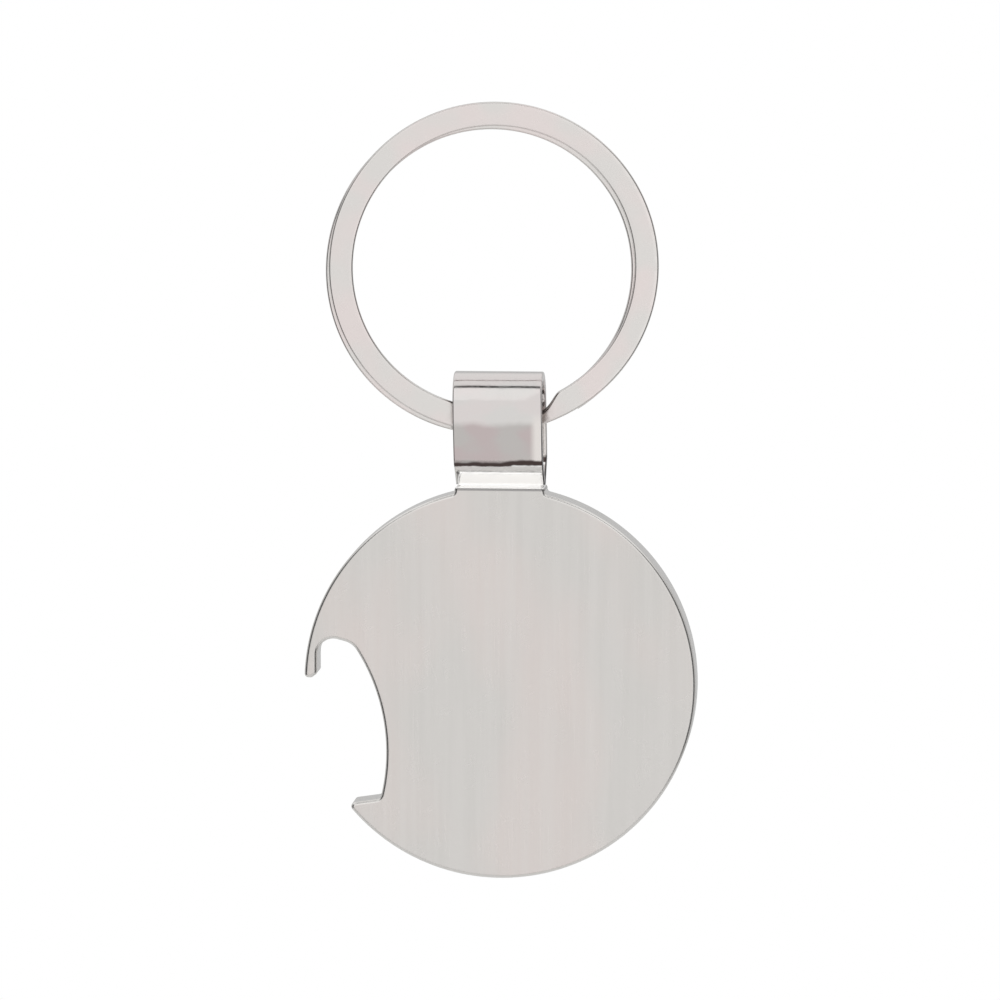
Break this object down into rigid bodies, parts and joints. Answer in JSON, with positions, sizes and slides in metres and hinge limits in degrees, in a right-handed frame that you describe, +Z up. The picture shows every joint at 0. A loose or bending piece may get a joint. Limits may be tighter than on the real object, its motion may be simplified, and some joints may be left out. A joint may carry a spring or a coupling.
{
  "type": "keychain bottle opener",
  "caption": "Flat round metal bottle opener with a hook and lip cut into its edge, on a folded strap link and a flat split key ring.",
  "frame": {"origin": "the hang point: the middle of the inner surface of the split ring, at the ring's top", "axes": "+Z up, along the hanging opener; +X across the disc, away from the cap mouth; -Y out of the front face of the disc"},
  "size_m": [0.038, 0.0064, 0.0754],
  "materials": {
    "cast_opener": "die-cast zinc alloy, nickel plated, satin brushed up and down on both faces, brighter rounded rim",
    "plated_strip": "folded steel strip, bright nickel plate with soft waviness",
    "steel_pin": "plain steel pin, ground flush with the back",
    "ring_wire": "flat spring-steel wire, bright nickel plate, lightly scuffed on its faces"
  },
  "bodies": {
    "ring": {"split_ring": "ring_wire"},
    "opener": {"opener_body": "cast_opener", "link_strap": "plated_strip", "link_pin": "steel_pin"}
  },
  "joints": [
    {"name": "opener_swing", "type": "hinge", "parent": "ring", "child": "opener", "pos_m": [0.00084, 0.00012, -0.02771], "axis": [1, 0, 0], "range_deg": [-150, 150]}
  ]
}
